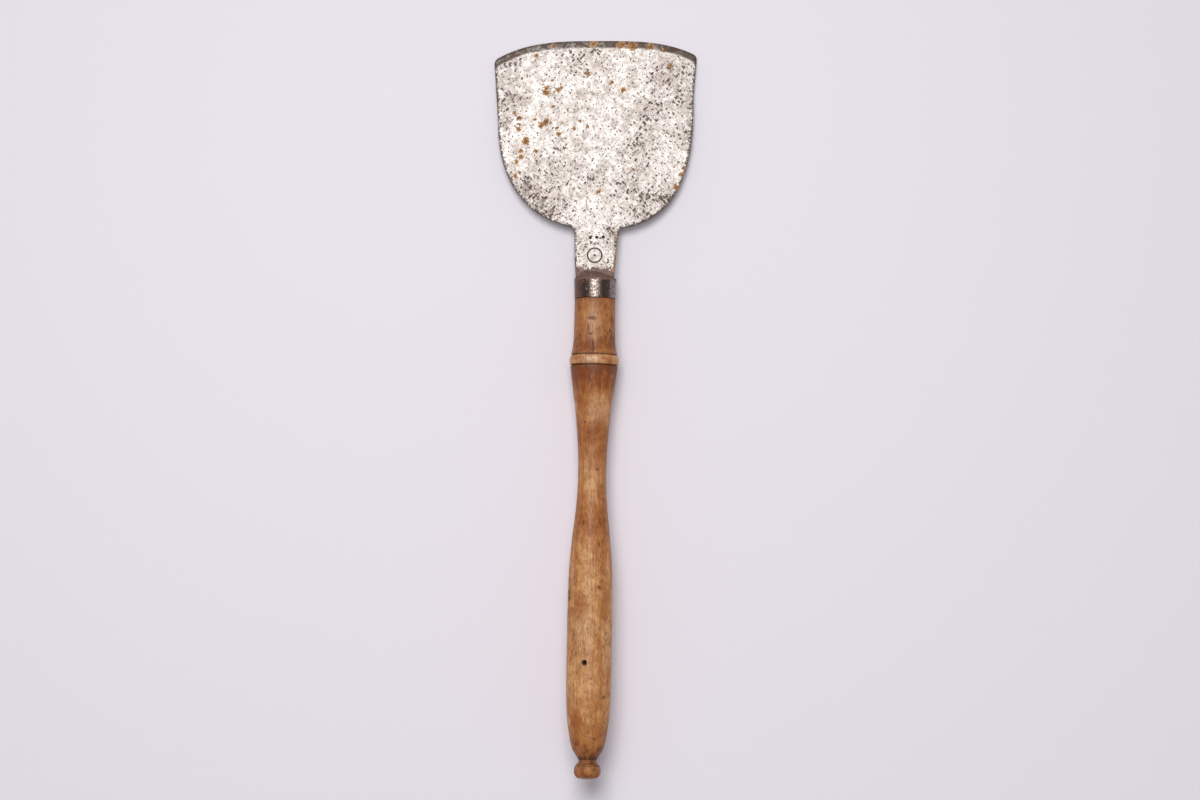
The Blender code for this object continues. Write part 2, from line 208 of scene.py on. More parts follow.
# Wood tone along the handle as (distance from the ferrule, darkness from 0 to 1). Besides the wood's own
# tone it holds painted shading: the pale bead is a painted highlight, and the darker rows hold some painted
# shade
TONE_AND_SHADING_STATIONS = (
    (0, 0.52), (14, 0.50), (26, 0.66), (31, 0.54), (33, 0.20), (36.8, 0.20), (38.2, 0.92),
    (48, 0.58), (60, 0.34), (78, 0.50), (100, 0.34), (124, 0.48), (148, 0.30), (190, 0.26),
    (219, 0.25), (237, 0.35), (249, 0.58), (256, 0.86), (261, 0.66), (269, 0.68),
)
# Darker reddish stains as (distance, x, half-length, half-width, strength), on the upper side
STAINS_MM = (
    (56, -5.5, 7, 4, 0.9), (42, 1, 5, 12, 0.5), (122, 6.5, 7, 3.5, 0.7), (124, -7, 6, 3.5, 0.6),
    (172, -6, 5, 6, 0.8), (236, -7.5, 6, 4, 0.7), (44, 0, 7, 16, 0.7), (80, 0, 13, 14, 0.55),
    (124, 0, 14, 14, 0.5), (28, 0, 5, 16, 0.5), (34, -9, 1.2, 3, 0.7), (36.3, -4, 0.9, 5, 0.6),
    (34.4, 5.5, 1, 2.6, 0.6), (36, 9.5, 1.4, 3, 0.7), (8, 9, 10, 3.5, 0.6), (12, -9, 10, 3, 0.5),
    (90, -5, 5, 2.5, 0.5), (146, -6.5, 4, 3, 0.4),
)
# Paler places, listed the same way: rubbed wear, and the first, on the bead, a painted highlight
WORN_AND_HIGHLIGHT_MM = (
    (35, -1.5, 2.6, 5.5, 1), (64, 3, 6, 6, 0.35), (100, 1, 12, 5, 0.15), (188, -3, 18, 5, 0.25),
    (14, -1, 9, 5, 0.3),
)
# Dents and scratches as (distance, x, half-length, half-width, depth), on the upper side
DENTS_MM = (
    (11.9, -1.4, 1.2, 3.2, 0.30), (17.6, -3.6, 3.2, 0.7, 0.24), (20.6, -2.4, 0.8, 1.6, 0.20),
    (18.4, 8.6, 1.6, 0.6, 0.25), (20.4, 7.6, 1.4, 0.5, 0.22), (45.6, -2.6, 2.6, 0.45, 0.16),
    (70, -4.6, 1, 0.5, 0.20), (185, -1.1, 0.55, 0.55, 0.30), (188, -8.6, 2.3, 0.45, 0.25),
    (196.6, -2.8, 0.7, 0.6, 0.35), (164.5, -11.9, 1.7, 1, 0.20), (168, -12, 1.6, 1.1, 0.25),
    (213, 1.1, 0.9, 0.7, 0.22), (223, 8.6, 1.3, 1, 0.25), (246.2, 3.4, 0.6, 1.4, 0.22),
    (96, 3, 1, 0.8, 0.12), (138, 4.4, 1.6, 0.7, 0.12), (162, 5, 1.2, 1, 0.14),
    (263.2, 4, 0.7, 0.6, 0.20),
)
CRACK_MM = (23.4, 31.6, -0.6)  # from, to, x
CRACK_DEPTH_MM = 0.35
CRACK_HALF_WIDTH_MM = 0.42
CUT_LINES_MM = (256.7, 257.5, 260.1, 261.2)
CUT_DEPTH_MM = 0.18
CUT_WIDTH_MM = 0.26
# Grime with painted shade darkens both grooves
GROOVE_LINES_MM = (31.7, 37.7)  # distances at which dirt fills the grooves
GROOVE_WIDTH_MM = 0.42
FERRULE_SEGMENTS = 160
BEDDING_SEGMENTS = 96
DOME_STEPS = 22
NOISE_OCTAVES = 3

# Camera, floor and lights
CAMERA_HEIGHT = 4.0
CAMERA_LENS = 214.1
CAMERA_SPOT = (0.0056, 0.0048)
CAMERA_ROLL = math.radians(0.95)
FLOOR_RADIUS = 9.0
SUN_FROM = (-0.08, 0.36, 1.0)
KEY_FROM = (-0.09, 0.20, 0.78)
KEY_SIZE = 0.47
KEY_POWER = 1.9
KEY_COLOUR = (1.0, 0.985, 0.97)
SUN_STRENGTH = 1.45
SUN_SPREAD = math.radians(24)
# The world's colours, low down and higher up, as (height, colour)
WORLD_LOW = (0.12, (0.62, 0.60, 0.64, 1))
WORLD_HIGH = (0.34, (0.29, 0.285, 0.30, 1))


# Colours, as linear values or as display colours


def srgb(red, green, blue):
    """A display colour, from 0 to 255, as the linear values that shaders take."""
    made = []
    for value in (red, green, blue):
        share = value / 255
        made.append(share / 12.92 if share <= 0.04045 else ((share + 0.055) / 1.055) ** 2.4)
    return (*made, 1.0)


STEEL_LIGHT = (0.64, 0.605, 0.575, 1.0)
STEEL_GREY = (0.45, 0.405, 0.375, 1.0)
STEEL_SMUDGE = (0.33, 0.275, 0.24, 1.0)
STEEL_CLOUD = (0.28, 0.23, 0.20, 1.0)
STEEL_BEVEL = (0.17, 0.13, 0.105, 1.0)
BROWN_STAIN = srgb(98, 76, 62)
PIT_BROWN = srgb(92, 74, 64)
# The next colour is painted shade along the blade's rim
EDGE_SHADE_BROWN = srgb(78, 64, 55)
MARK_BLACK = srgb(48, 38, 34)
RUST_OCHRE = srgb(190, 146, 94)
RUST_BROWN = srgb(124, 80, 46)
IRON_OLIVE = (0.105, 0.058, 0.038, 1.0)
IRON_PURPLE = (0.080, 0.047, 0.036, 1.0)
# The next colour is rubbed iron, and also a painted highlight along the ferrule's top
IRON_RUBBED_AND_HIGHLIGHT = (0.44, 0.41, 0.38, 1.0)
IRON_RUST = srgb(128, 74, 48)
CEMENT_BROWN = srgb(122, 92, 80)
CEMENT_DARK = srgb(84, 62, 54)
CEMENT_RED = srgb(126, 82, 64)
WOOD_PALE = srgb(210, 160, 107)
WOOD_MIDDLE = srgb(172, 112, 61)
WOOD_DARK = srgb(106, 56, 26)
# The next colour is rubbed wood, and also a painted highlight on the bead
WOOD_WORN_AND_HIGHLIGHT = srgb(230, 200, 168)
WOOD_RED = srgb(150, 78, 32)
WOOD_FLECK = srgb(84, 50, 34)
# The next colour is grime with painted shade in the handle's recesses
WOOD_GRIME_AND_SHADE = srgb(46, 32, 26)
FLOOR_COLOUR = srgb(232, 227, 234)


# Shared helpers


def tool_matrix():
    """Where the tool's own frame lies: its tilt and place, from the mount on the blade's upper face."""
    mount = next(m for m in frame["record"]["mounts"] if m["name"] == "blade_upper_face")
    axis = Vector(mount["axis"])
    turn = Matrix.Rotation(-math.atan2(axis.y, axis.z), 4, "X")
    spot = Vector((-0.001, 0.075, PLATE_THICKNESS / 2))
    return Matrix.Translation(Vector(mount["pos_m"]) - turn @ spot) @ turn


TOOL = tool_matrix()


def smooth_noise(points_mm, size_mm, seed):
    """Soft noise of about this feature size at each (x, y, z) point, from -1 to 1."""
    shift = Vector((seed * 17.3, seed * 5.1, seed * 9.7))
    values = []
    for point in points_mm:
        spot = Vector(point) / size_mm + shift
        values.append(noise.fractal(spot, 0.8, 2.0, NOISE_OCTAVES, noise_basis="PERLIN_ORIGINAL"))
    return np.clip(np.array(values), -1, 1)


def spot_field(points_mm, spots):
    """At each point, 1 in the middle of the nearest spot, 0 at its edge and less than 0 outside."""
    field = np.full(len(points_mm), -1.0)
    for x, y, radius in spots:
        distance = np.hypot(points_mm[:, 0] - x, points_mm[:, 1] - y)
        field = np.maximum(field, 1 - distance / radius)
    return field


def edge_distance(points_mm, outline):
    """How far each point lies from the nearest point of an outline, across x and y."""
    nearest = []
    for low in range(0, len(points_mm), 2000):
        away = points_mm[low : low + 2000, None, :2] - outline[None, :, :2]
        nearest.append(np.hypot(away[..., 0], away[..., 1]).min(axis=1))
    return np.concatenate(nearest)


def line_distance(points_mm, start, end):
    """How far each point lies from a straight stroke."""
    start, end = np.array(start), np.array(end)
    along = end - start
    share = np.clip((points_mm[:, :2] - start) @ along / (along @ along), 0, 1)
    return np.hypot(*(points_mm[:, :2] - start - share[:, None] * along).T)


def add_to_scene(name, data):
    made = bpy.data.objects.new(name, data)
    bpy.context.scene.collection.objects.link(made)
    return made


def make_piece(name, points_mm, faces, node, material, fields, sharp_angle):
    """A mesh piece that stands for a CAD node. fields are its named values at each point."""
    mesh = bpy.data.meshes.new(name)
    mesh.from_pydata(np.asarray(points_mm) * MM, [], faces)
    mesh.update()
    own = mesh.attributes.new("tool_mm", "FLOAT_VECTOR", "POINT")
    own.data.foreach_set("vector", np.asarray(fields.pop("tool_mm", points_mm), np.float32).ravel())
    for key, values in fields.items():
        layer = mesh.attributes.new(key, "FLOAT", "POINT")
        layer.data.foreach_set("value", np.asarray(values, np.float32))
    mesh.shade_smooth()
    mesh.set_sharp_from_angle(angle=math.radians(sharp_angle))
    mesh.materials.append(material)
    mesh.transform(TOOL)
    piece = add_to_scene(name, mesh)
    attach(piece, "root")
    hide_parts(node)
    return piece


def smooth_row(stations, steps):
    """Points on a smooth curve through the stations, with this many steps between neighbours."""
    last = len(stations) - 1
    slopes = []
    for i in range(last + 1):
        before, after = stations[max(i - 1, 0)], stations[min(i + 1, last)]
        slopes.append((after[1] - before[1]) / (after[0] - before[0]))
    points = []
    for i in range(last):
        (start, low), (end, high) = stations[i], stations[i + 1]
        span = end - start
        for k in range(steps):
            t = k / steps
            value = low * (1 + 2 * t) * (1 - t) ** 2 + high * t * t * (3 - 2 * t)
            value += span * (slopes[i] * t * (1 - t) ** 2 + slopes[i + 1] * t * t * (t - 1))
            points.append((start + t * span, value))
    return [*points, stations[-1]]


def quarter(steps, first=0):
    """The sine and cosine of angles that go evenly from 0 to a right angle."""
    angles = [math.pi / 2 * k / steps for k in range(first, steps + 1)]
    return [(math.sin(angle), math.cos(angle)) for angle in angles]


# Blade


def yawed(x, y):
    """A point of the plate, turned by its small yaw about a point in the neck."""
    ahead = y - YAW_CENTRE_Y
    return (
        x * math.cos(BLADE_YAW) - ahead * math.sin(BLADE_YAW),
        YAW_CENTRE_Y + x * math.sin(BLADE_YAW) + ahead * math.cos(BLADE_YAW),
    )


def front_y(x):
    """The front edge's bow. It leans a little, its right-hand end further forward."""
    return FRONT_Y + FRONT_LEAN * x - FRONT_DROP * abs(x / FRONT_HALF_WIDTH) ** FRONT_POWER


def front_slope(x):
    steepness = FRONT_DROP * FRONT_POWER / FRONT_HALF_WIDTH
    return FRONT_LEAN - np.sign(x) * steepness * abs(x / FRONT_HALF_WIDTH) ** (FRONT_POWER - 1)


def side_points(side):
    """One side of the blade, from the neck's root to the end of the rounded corner: 1 is the right."""
    points = [yawed(side * (right if side > 0 else left), y) for y, left, right in NECK_ROWS]
    first = SHOULDER_START_ANGLE[side]
    for k in range(SHOULDER_STEPS + 1):
        angle = first + (math.pi / 2 - first) * k / SHOULDER_STEPS
        across = SHOULDER_HALF_WIDTH * math.sin(angle) ** (2 / SHOULDER_POWER[side])
        back = SHOULDER_DEPTH[side] * math.cos(angle) ** (2 / SHOULDER_POWER[side])
        points.append(yawed(side * across, SHOULDER_Y[side] - back))
    x, _ = yawed(side * CORNER_HALF_WIDTH, FRONT_Y - FRONT_DROP)
    start, middle = Vector((x, front_y(x) - CORNER_RADIUS)), Vector((x, front_y(x)))
    end = Vector((x - side * CORNER_RADIUS, front_y(x - side * CORNER_RADIUS)))
    for k in range(CORNER_STEPS + 1):
        t = k / CORNER_STEPS
        points.append(tuple(start * (1 - t) ** 2 + middle * 2 * t * (1 - t) + end * t * t))
    return points


def even_points(points, step):
    """The same open line, with points a step apart."""
    points = np.array(points)
    along = np.concatenate([[0], np.cumsum(np.hypot(*np.diff(points, axis=0).T))])
    count = max(2, round(along[-1] / step))
    even = np.linspace(0, along[-1], count + 1)
    return np.column_stack([np.interp(even, along, points[:, k]) for k in (0, 1)])


def blade_outline():
    """The closed outline in millimetres, anticlockwise from the tang's right-hand end."""
    right, left = side_points(1), side_points(-1)
    front = [(x, front_y(x)) for x in np.linspace(right[-1][0], left[-1][0], FRONT_STEPS)]
    body = [(TANG_ROOT_WIDTH / 2, NECK_ROWS[0][0]), *right, *front[1:-1], *reversed(left)]
    body.append((-TANG_ROOT_WIDTH / 2, NECK_ROWS[0][0]))
    body = even_points(body, OUTLINE_STEP_MM * MM)
    tip, root = (TANG_TIP_WIDTH / 2, TANG_END_Y), (TANG_ROOT_WIDTH / 2, NECK_ROWS[0][0])
    rising = even_points([tip, root], TANG_STEP_MM * MM)[:-1]
    falling = rising[::-1] * (-1, 1)
    return np.concatenate([rising, body, falling]) / MM


def inward(outline):
    """Unit vectors at each point of a closed anticlockwise outline, pointing in."""
    along = np.roll(outline, -1, axis=0) - np.roll(outline, 1, axis=0)
    along /= np.hypot(*along.T)[:, None]
    return np.column_stack([-along[:, 1], along[:, 0]])


def worn_outline():
    """The outline with its small nicks and its corroded right-hand stretch, always inside the CAD's."""
    outline = blade_outline()
    flat = np.column_stack([outline, np.zeros(len(outline))])
    inset = 0.035 + 0.03 * smooth_noise(flat, 4.0, 1)
    inset += 0.02 * smooth_noise(flat, 1.2, 2)
    middle, half_length = CORRODED_MM
    rough = np.exp(-(((outline[:, 1] - middle) / half_length) ** 2)) * (outline[:, 0] > 20)
    inset += 0.16 * rough * np.clip(smooth_noise(flat, 2.2, 3) + 0.3, 0, 1)
    for x, y, width, depth in NICKS_MM:
        distance = np.hypot(outline[:, 0] - x, outline[:, 1] - y)
        inset += depth * np.exp(-((distance / width) ** 2))
    inset[outline[:, 1] < 1.5] = 0.02
    return outline + np.clip(inset, 0, 0.6)[:, None] * inward(outline)


def half_thickness_mm(y_mm):
    """Half the forging's thickness: the neck swells to its root, and the tang thins to its tip."""
    y = np.asarray(y_mm) * MM
    swell = np.clip(1 - y / NECK_TAPER_LENGTH, 0, 1)
    neck = PLATE_THICKNESS + (NECK_ROOT_THICKNESS - PLATE_THICKNESS) * swell
    share = np.clip((NECK_ROWS[0][0] - y) / (NECK_ROWS[0][0] - TANG_END_Y), 0, 1)
    tang = NECK_ROOT_THICKNESS + (TANG_TIP_WIDTH - NECK_ROOT_THICKNESS) * share
    return np.where(y < NECK_ROWS[0][0], np.minimum(tang, neck), neck) / 2 / MM


def bevel_length_mm(x_mm):
    """The bevel's width, which wavers a little where it has been filed by hand."""
    waver = 0.16 * np.sin(x_mm * 0.21 + 0.8) + 0.10 * np.sin(x_mm * 0.53) + 0.05 * np.sin(x_mm * 1.31)
    return BEVEL_LENGTH / MM + waver * np.clip((30 - x_mm) / 40, 0.2, 1)


def from_front_mm(points_mm):
    """Each point's distance from the front edge's curve, measured square to it."""
    x = points_mm[:, 0] * MM
    return (front_y(x) - points_mm[:, 1] * MM) / np.hypot(1, front_slope(x)) / MM


def upper_height_mm(points_mm):
    """The plate's upper face, with the bevel that falls to the cutting edge."""
    top = half_thickness_mm(points_mm[:, 1])
    length = bevel_length_mm(points_mm[:, 0])
    rise = (2 * top - CUTTING_LAND / MM) * from_front_mm(points_mm) / length
    return np.minimum(top, CUTTING_LAND / MM - top + rise)


def pits_mm(count, seed):
    """Round corrosion pits as (x, y, radius, depth), thickest around the dark spots."""
    chance = random.Random(seed)
    pits = []
    for _ in range(count):
        if chance.random() < 0.55:
            x, y, spread = chance.choice(DARK_SPOTS_MM + RUST_SPOTS_MM)
            x, y = chance.gauss(x, spread * 0.9), chance.gauss(y, spread * 0.9)
        else:
            x, y = chance.uniform(-52, 52), chance.uniform(30, 126)
        radius = chance.uniform(0.5, 1.15)
        pits.append((x, y, radius, radius * chance.uniform(0.06, 0.16)))
    return pits


def pit_depth_mm(points_mm, pits):
    depth = np.zeros(len(points_mm))
    for x, y, radius, deepest in pits:
        near = ((points_mm[:, 0] - x) ** 2 + (points_mm[:, 1] - y) ** 2) / radius**2
        depth = np.maximum(depth, deepest * np.clip(1 - near, 0, 1) ** 1.5)
    return depth


def mark_field(points_mm):
    """How near each point is to the middle of a stroke of the touch marks: 1 in it, 0 outside."""
    x, y = RING_MARK_MM
    out = np.hypot(points_mm[:, 0] - x, points_mm[:, 1] - y)
    field = 1 - np.abs(out - RING_MARK_RADIUS_MM) / MARK_HALF_WIDTH_MM
    field = np.maximum(field, 1 - out / (1.7 * MARK_HALF_WIDTH_MM))
    for x, y in DOT_MARKS_MM:
        out = np.hypot(points_mm[:, 0] - x, points_mm[:, 1] - y)
        field = np.maximum(field, 1.2 * (1 - out / DOT_MARK_RADIUS_MM))
    return np.clip(field, 0, 1)


def scratch_field(points_mm):
    field = np.zeros(len(points_mm))
    for start, end, width in SCRATCHES_MM:
        field = np.maximum(field, 1 - line_distance(points_mm, start, end) / width)
    return np.clip(field, 0, 1)


def hex_grid(low, high, step, seed):
    """Slightly shaken points of a triangular grid over a rectangle."""
    chance = np.random.default_rng(seed)
    rows = np.arange(low[1], high[1], step * math.sqrt(3) / 2)
    columns = np.arange(low[0], high[0], step)
    grid = np.array([(x + (k % 2) * step / 2, y) for k, y in enumerate(rows) for x in columns])
    return grid + chance.uniform(-0.12, 0.12, grid.shape) * step


def inside_by(points, outline, clearance):
    """Which points lie inside the closed outline by at least the clearance."""
    tree = kdtree.KDTree(len(outline))
    for i, (x, y) in enumerate(outline):
        tree.insert((x, y, 0), i)
    tree.balance()
    square = inward(outline)
    kept = []
    for x, y in points:
        (near_x, near_y, _), i, distance = tree.find((x, y, 0))
        facing = (x - near_x) * square[i][0] + (y - near_y) * square[i][1]
        kept.append(distance > clearance and facing > 0)
    return np.array(kept)


def filled(loop, inner, line):
    """Triangles that fill a loop and pass through the inner points and along one open line."""
    points = [Vector(point) for point in (*loop, *inner, *line)]
    count, first = len(loop), len(loop) + len(inner)
    edges = [(i, (i + 1) % count) for i in range(count)]
    edges += [(i, i + 1) for i in range(first, len(points) - 1)]
    made, _, faces, sources, _, _ = geometry.delaunay_2d_cdt(points, edges, [], 1, 1e-5)
    return np.array([tuple(point) for point in made]), faces, sources


def blade_rings(outline):
    """The worn rim's rings of points from the upper face, round the edge, to the lower face."""
    square = inward(outline)
    flat = np.column_stack([outline, np.zeros(len(outline))])
    low = -half_thickness_mm(outline[:, 1])
    radius = EDGE_RADIUS_MM + 0.12 * smooth_noise(flat, 6.0, 5)
    room = upper_height_mm(outline + 0.2 * square) - low
    radius = np.minimum(radius, 0.4 * room)
    rings = []
    for sine, cosine in quarter(EDGE_STEPS):
        spots = outline + (radius * (1 - sine))[:, None] * square
        rings.append(np.column_stack([spots, upper_height_mm(spots) - radius * (1 - cosine)]))
    for sine, cosine in quarter(EDGE_STEPS):
        spots = outline + (radius * (1 - cosine))[:, None] * square
        rings.append(np.column_stack([spots, low + radius * (1 - sine)]))
    return rings


def blade_face(ring, step, seed, upper):
    """One broad face of the blade inside its rim ring: its points, its triangles and their sources."""
    loop = ring[:, :2]
    grid = hex_grid((-58, 0), (58, 134), step, seed)
    neck = (grid[:, 1] > 1.2) | (np.abs(grid[:, 0]) < 2)
    grid = grid[neck]
    crease = np.zeros((0, 2))
    if upper:
        x = np.linspace(loop[:, 0].min() + 0.7, loop[:, 0].max() - 0.7, 300)
        slope = front_slope(x * MM)
        inset = bevel_length_mm(x) * np.hypot(1, slope)
        crease = np.column_stack([x, front_y(x * MM) / MM - inset])
        crease = crease[inside_by(crease, loop, 0.3)]
        grid = grid[np.abs(from_front_mm(grid) - bevel_length_mm(grid[:, 0])) > step * 0.6]
        low, high = np.array(MARKED_AREA_MM)
        marked = (grid > low).all(axis=1) & (grid < high).all(axis=1)
        grid = np.concatenate([grid[~marked], hex_grid(low, high, MARK_STEP_MM, seed + 1)])
    grid = grid[inside_by(grid, loop, step * 0.55)]
    return filled(loop, grid, crease)


def blade_mesh():
    """All points, faces and named fields of the blade, in millimetres."""
    outline = worn_outline()
    count = len(outline)
    rings = blade_rings(outline)
    pits_up, pits_down = pits_mm(UPPER_PITS, 11), pits_mm(LOWER_PITS, 12)
    points, faces = list(np.concatenate(rings)), []
    levels = len(rings)
    for k in range(levels - 1):
        here, there = k * count, (k + 1) * count
        for i in range(count):
            j = (i + 1) % count
            faces.append((there + i, there + j, here + j, here + i))
    for upper, step in ((True, UPPER_STEP_MM), (False, LOWER_STEP_MM)):
        ring_start = 0 if upper else (levels - 1) * count
        spots, triangles, sources = blade_face(rings[0] if upper else rings[-1], step, 21, upper)
        places = []
        relief = pit_depth_mm(spots, pits_up if upper else pits_down)
        if upper:
            relief = np.maximum(relief, MARK_DEPTH_MM * mark_field(spots))
            relief = np.maximum(relief, SCRATCH_DEPTH_MM * scratch_field(spots))
            heights = upper_height_mm(spots) - relief
        else:
            heights = relief - half_thickness_mm(spots[:, 1])
        for spot, height, source in zip(spots, heights, sources):
            on_ring = [i for i in source if i < count]
            if on_ring:
                places.append(ring_start + on_ring[0])
            else:
                places.append(len(points))
                points.append(np.array([spot[0], spot[1], height]))
        for triangle in triangles:
            corners = [places[i] for i in triangle]
            faces.append(corners if upper else corners[::-1])
    points = np.array(points)
    ahead = from_front_mm(points)
    above = points[:, 2] > 0.2 - half_thickness_mm(points[:, 1])
    placed_wear = {"rust": RUST_SPOTS_MM, "dark": DARK_SPOTS_MM, "cloud": CLOUDS_MM}
    fields = {
        **{name: spot_field(points, spots) for name, spots in placed_wear.items()},
        "stain": np.clip((STAIN_END_MM - points[:, 1]) / STAIN_FADE_MM, 0, 1),
        "bevel": np.clip((bevel_length_mm(points[:, 0]) - ahead) / 0.5 + 0.5, 0, 1) * above,
        "mark": np.maximum(mark_field(points), 0.28 * scratch_field(points)) * above,
        # Painted shade along the rim: 1 at the outline, falling to 0 inwards
        "rim": np.clip(1 - edge_distance(points, outline) / EDGE_SHADE_WIDTH_MM, 0, 1),
        "quiet": np.clip(spot_field(points, ((*RING_MARK_MM, QUIET_RADIUS_MM),)), 0, 1),
    }
    lift = 0.05 * smooth_noise(points * (1, 1, 0), 26.0, 7) * np.clip((points[:, 1] - 6) / 20, 0, 1)
    points[:, 2] += lift * np.clip((126 - points[:, 1]) / 20, 0, 1)
    return points, faces, fields


# Turned pieces


def lathe(rows, segments, closed):
    """Faces of a surface whose points go row by row. Its end rows join up if closed, or get caps."""
    faces = []
    for k in range(rows - 1 + closed):
        here, there = k * segments, (k + 1) % rows * segments
        for i in range(segments):
            j = (i + 1) % segments
            faces.append((here + i, there + i, there + j, here + j))
    if not closed:
        faces.append(tuple(range(segments)))
        faces.append(tuple(reversed(range((rows - 1) * segments, rows * segments))))
    return faces


def placed(y, radius, angle):
    return np.column_stack([radius * np.sin(angle), y, radius * np.cos(angle)])


def spin_points(rows, segments):
    """(y, radius) rows turned about the y axis: each point's y, radius, angle from the top and place."""
    turn = np.arange(segments) * 2 * math.pi / segments
    y, radius = np.repeat(rows, segments, axis=0).T
    angle = np.tile(turn, len(rows))
    return y, radius, angle, placed(y, radius, angle)


def nearness(distance, x, place):
    """The square of how far out points lie from a place, counted in its own half-length and half-width."""
    middle, side, half_length, half_width = place
    return ((distance - middle) / half_length) ** 2 + ((x - side) / half_width) ** 2


# Materials


class Shader:
    """One material's nodes, built with short calls."""

    def __init__(self, name):
        self.material = bpy.data.materials.new(name)
        self.material.use_nodes = True
        self.nodes = self.material.node_tree.nodes
        self.links = self.material.node_tree.links
        self.surface = self.nodes["Principled BSDF"]

    def node(self, kind, inputs, **settings):
        made = self.nodes.new("ShaderNode" + kind)
        for key, value in settings.items():
            setattr(made, key, value)
        for key, value in inputs.items():
            self.give(made.inputs[key], value)
        return made

    def give(self, socket, value):
        if isinstance(value, bpy.types.NodeSocket):
            self.links.new(value, socket)
        else:
            socket.default_value = value

    def set(self, **inputs):
        """Sets the surface's own sockets, with _ for a space in a socket's name."""
        for key, value in inputs.items():
            self.give(self.surface.inputs[key.replace("_", " ")], value)

    def field(self, name):
        return self.node("Attribute", {}, attribute_name=name).outputs["Fac"]

    def place(self, stretch=(1, 1, 1), turn=0.0):
        """The point in the tool's frame in millimetres, turned about z and then stretched."""
        own = self.node("Attribute", {}, attribute_name="tool_mm").outputs["Vector"]
        turned = self.node("Mapping", {"Vector": own, "Rotation": (0, 0, turn)}).outputs["Vector"]
        stretched = self.node("VectorMath", {0: turned, 1: stretch}, operation="MULTIPLY")
        return stretched.outputs["Vector"]

    def noise(self, vector, scale, detail=3.0, roughness=0.55, distortion=0.0):
        inputs = {"Vector": vector, "Scale": scale, "Detail": detail, "Roughness": roughness}
        return self.node("TexNoise", {**inputs, "Distortion": distortion}).outputs["Fac"]

    def cells(self, vector, scale):
        """Distance to the nearest cell's point, and that cell's own random number."""
        inputs = {"Vector": vector, "Scale": scale, "Randomness": 1.0}
        made = self.node("TexVoronoi", inputs, voronoi_dimensions="2D")
        split = self.node("SeparateColor", {"Color": made.outputs["Color"]})
        return made.outputs["Distance"], split.outputs["Red"]

    def math(self, operation, first, second=0.0, clamp=False):
        made = self.node("Math", {0: first, 1: second}, operation=operation, use_clamp=clamp)
        return made.outputs[0]

    def plus(self, first, second, clamp=False):
        return self.math("ADD", first, second, clamp)

    def less(self, first, second):
        return self.math("SUBTRACT", first, second)

    def times(self, first, second, clamp=False):
        return self.math("MULTIPLY", first, second, clamp)

    def larger(self, first, second):
        return self.math("MAXIMUM", first, second)

    def ramp(self, value, low, high, start=0.0, end=1.0, smooth=True):
        """The value carried from low..high to start..end, and held there outside."""
        made = self.node(
            "MapRange",
            {"Value": value, "From Min": low, "From Max": high, "To Min": start, "To Max": end},
            interpolation_type="SMOOTHSTEP" if smooth else "LINEAR",
        )
        return made.outputs["Result"]

    def sway(self, noise_value, reach):
        """A noise carried to -reach..reach."""
        return self.ramp(noise_value, 0.3, 0.7, -reach, reach)

    def mix(self, factor, first, second, most=1.0):
        """The first colour where the factor is 0, and this much of the second where it is 1."""
        if most < 1:
            factor = self.times(factor, most)
        made = self.nodes.new("ShaderNodeMix")
        made.data_type = "RGBA"
        for key, value in (("Factor_Float", factor), ("A_Color", first), ("B_Color", second)):
            self.give(next(i for i in made.inputs if i.identifier == key), value)
        return next(o for o in made.outputs if o.identifier == "Result_Color")

    def blend_value(self, factor, first, second):
        """The first number where the factor is 0, the second where it is 1."""
        return self.ramp(factor, 0.0, 1.0, first, second, smooth=False)

    def bump(self, height, distance, strength):
        inputs = {"Height": height, "Distance": distance, "Strength": strength}
        return self.node("Bump", inputs).outputs["Normal"]


